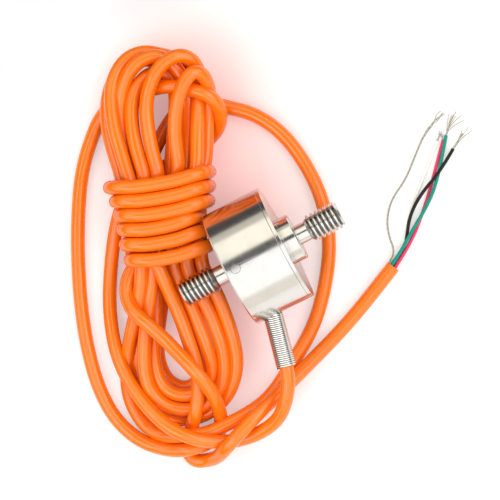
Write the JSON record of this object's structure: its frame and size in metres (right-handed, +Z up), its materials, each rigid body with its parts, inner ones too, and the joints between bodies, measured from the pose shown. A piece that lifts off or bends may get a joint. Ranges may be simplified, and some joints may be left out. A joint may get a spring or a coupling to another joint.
{
  "type": "miniature load cell",
  "caption": "Short round steel load cell with a threaded stud at each end, a spring strain relief on its side and an orange cable tied in a hank, for sensing tension and compression.",
  "frame": {"origin": "under the middle of the cell's overall length, on the surface that it lies on", "axes": "+X along the load axis towards the stud on the collar, +Z up, the cable leaves towards -Y"},
  "size_m": [0.0962, 0.089, 0.025],
  "materials": {
    "body_steel": "finely turned and polished stainless steel",
    "plug_steel": "polished stainless steel",
    "spring_steel": "bright drawn spring wire",
    "bush_rubber": "matt moulded rubber",
    "board_laminate": "satin solder resist",
    "resistor_body": "matt",
    "gauge_foil": "etched foil on amber film",
    "tinned_copper": "bright tinned copper",
    "cable_jacket": "smooth glossy jacket",
    "core_red": "smooth insulation",
    "core_black": "smooth insulation",
    "core_green": "smooth insulation",
    "core_white": "smooth insulation"
  },
  "bodies": {
    "root": {"housing_cup": "body_steel", "sensing_diaphragm": "body_steel", "side_plug": "plug_steel", "strain_relief_spring": "spring_steel", "entry_bush": "bush_rubber", "terminal_board": "board_laminate", "trim_resistor_1": "resistor_body", "trim_resistor_2": "resistor_body", "strain_gauge_1": "gauge_foil", "strain_gauge_2": "gauge_foil", "strain_gauge_3": "gauge_foil", "strain_gauge_4": "gauge_foil", "gauge_leads": "tinned_copper", "inner_core_red": "core_red", "inner_core_black": "core_black", "inner_core_green": "core_green", "inner_core_white": "core_white", "cable_entry": "cable_jacket", "cable_lead": "cable_jacket", "cable_outer_loop": "cable_jacket", "cable_hank": "cable_jacket", "cable_tail": "cable_jacket", "core_red": "core_red", "core_black": "core_black", "core_green": "core_green", "core_white": "core_white", "bare_end_red": "tinned_copper", "bare_end_black": "tinned_copper", "bare_end_green": "tinned_copper", "bare_end_white": "tinned_copper", "drain_wire": "tinned_copper"}
  },
  "joints": []
}
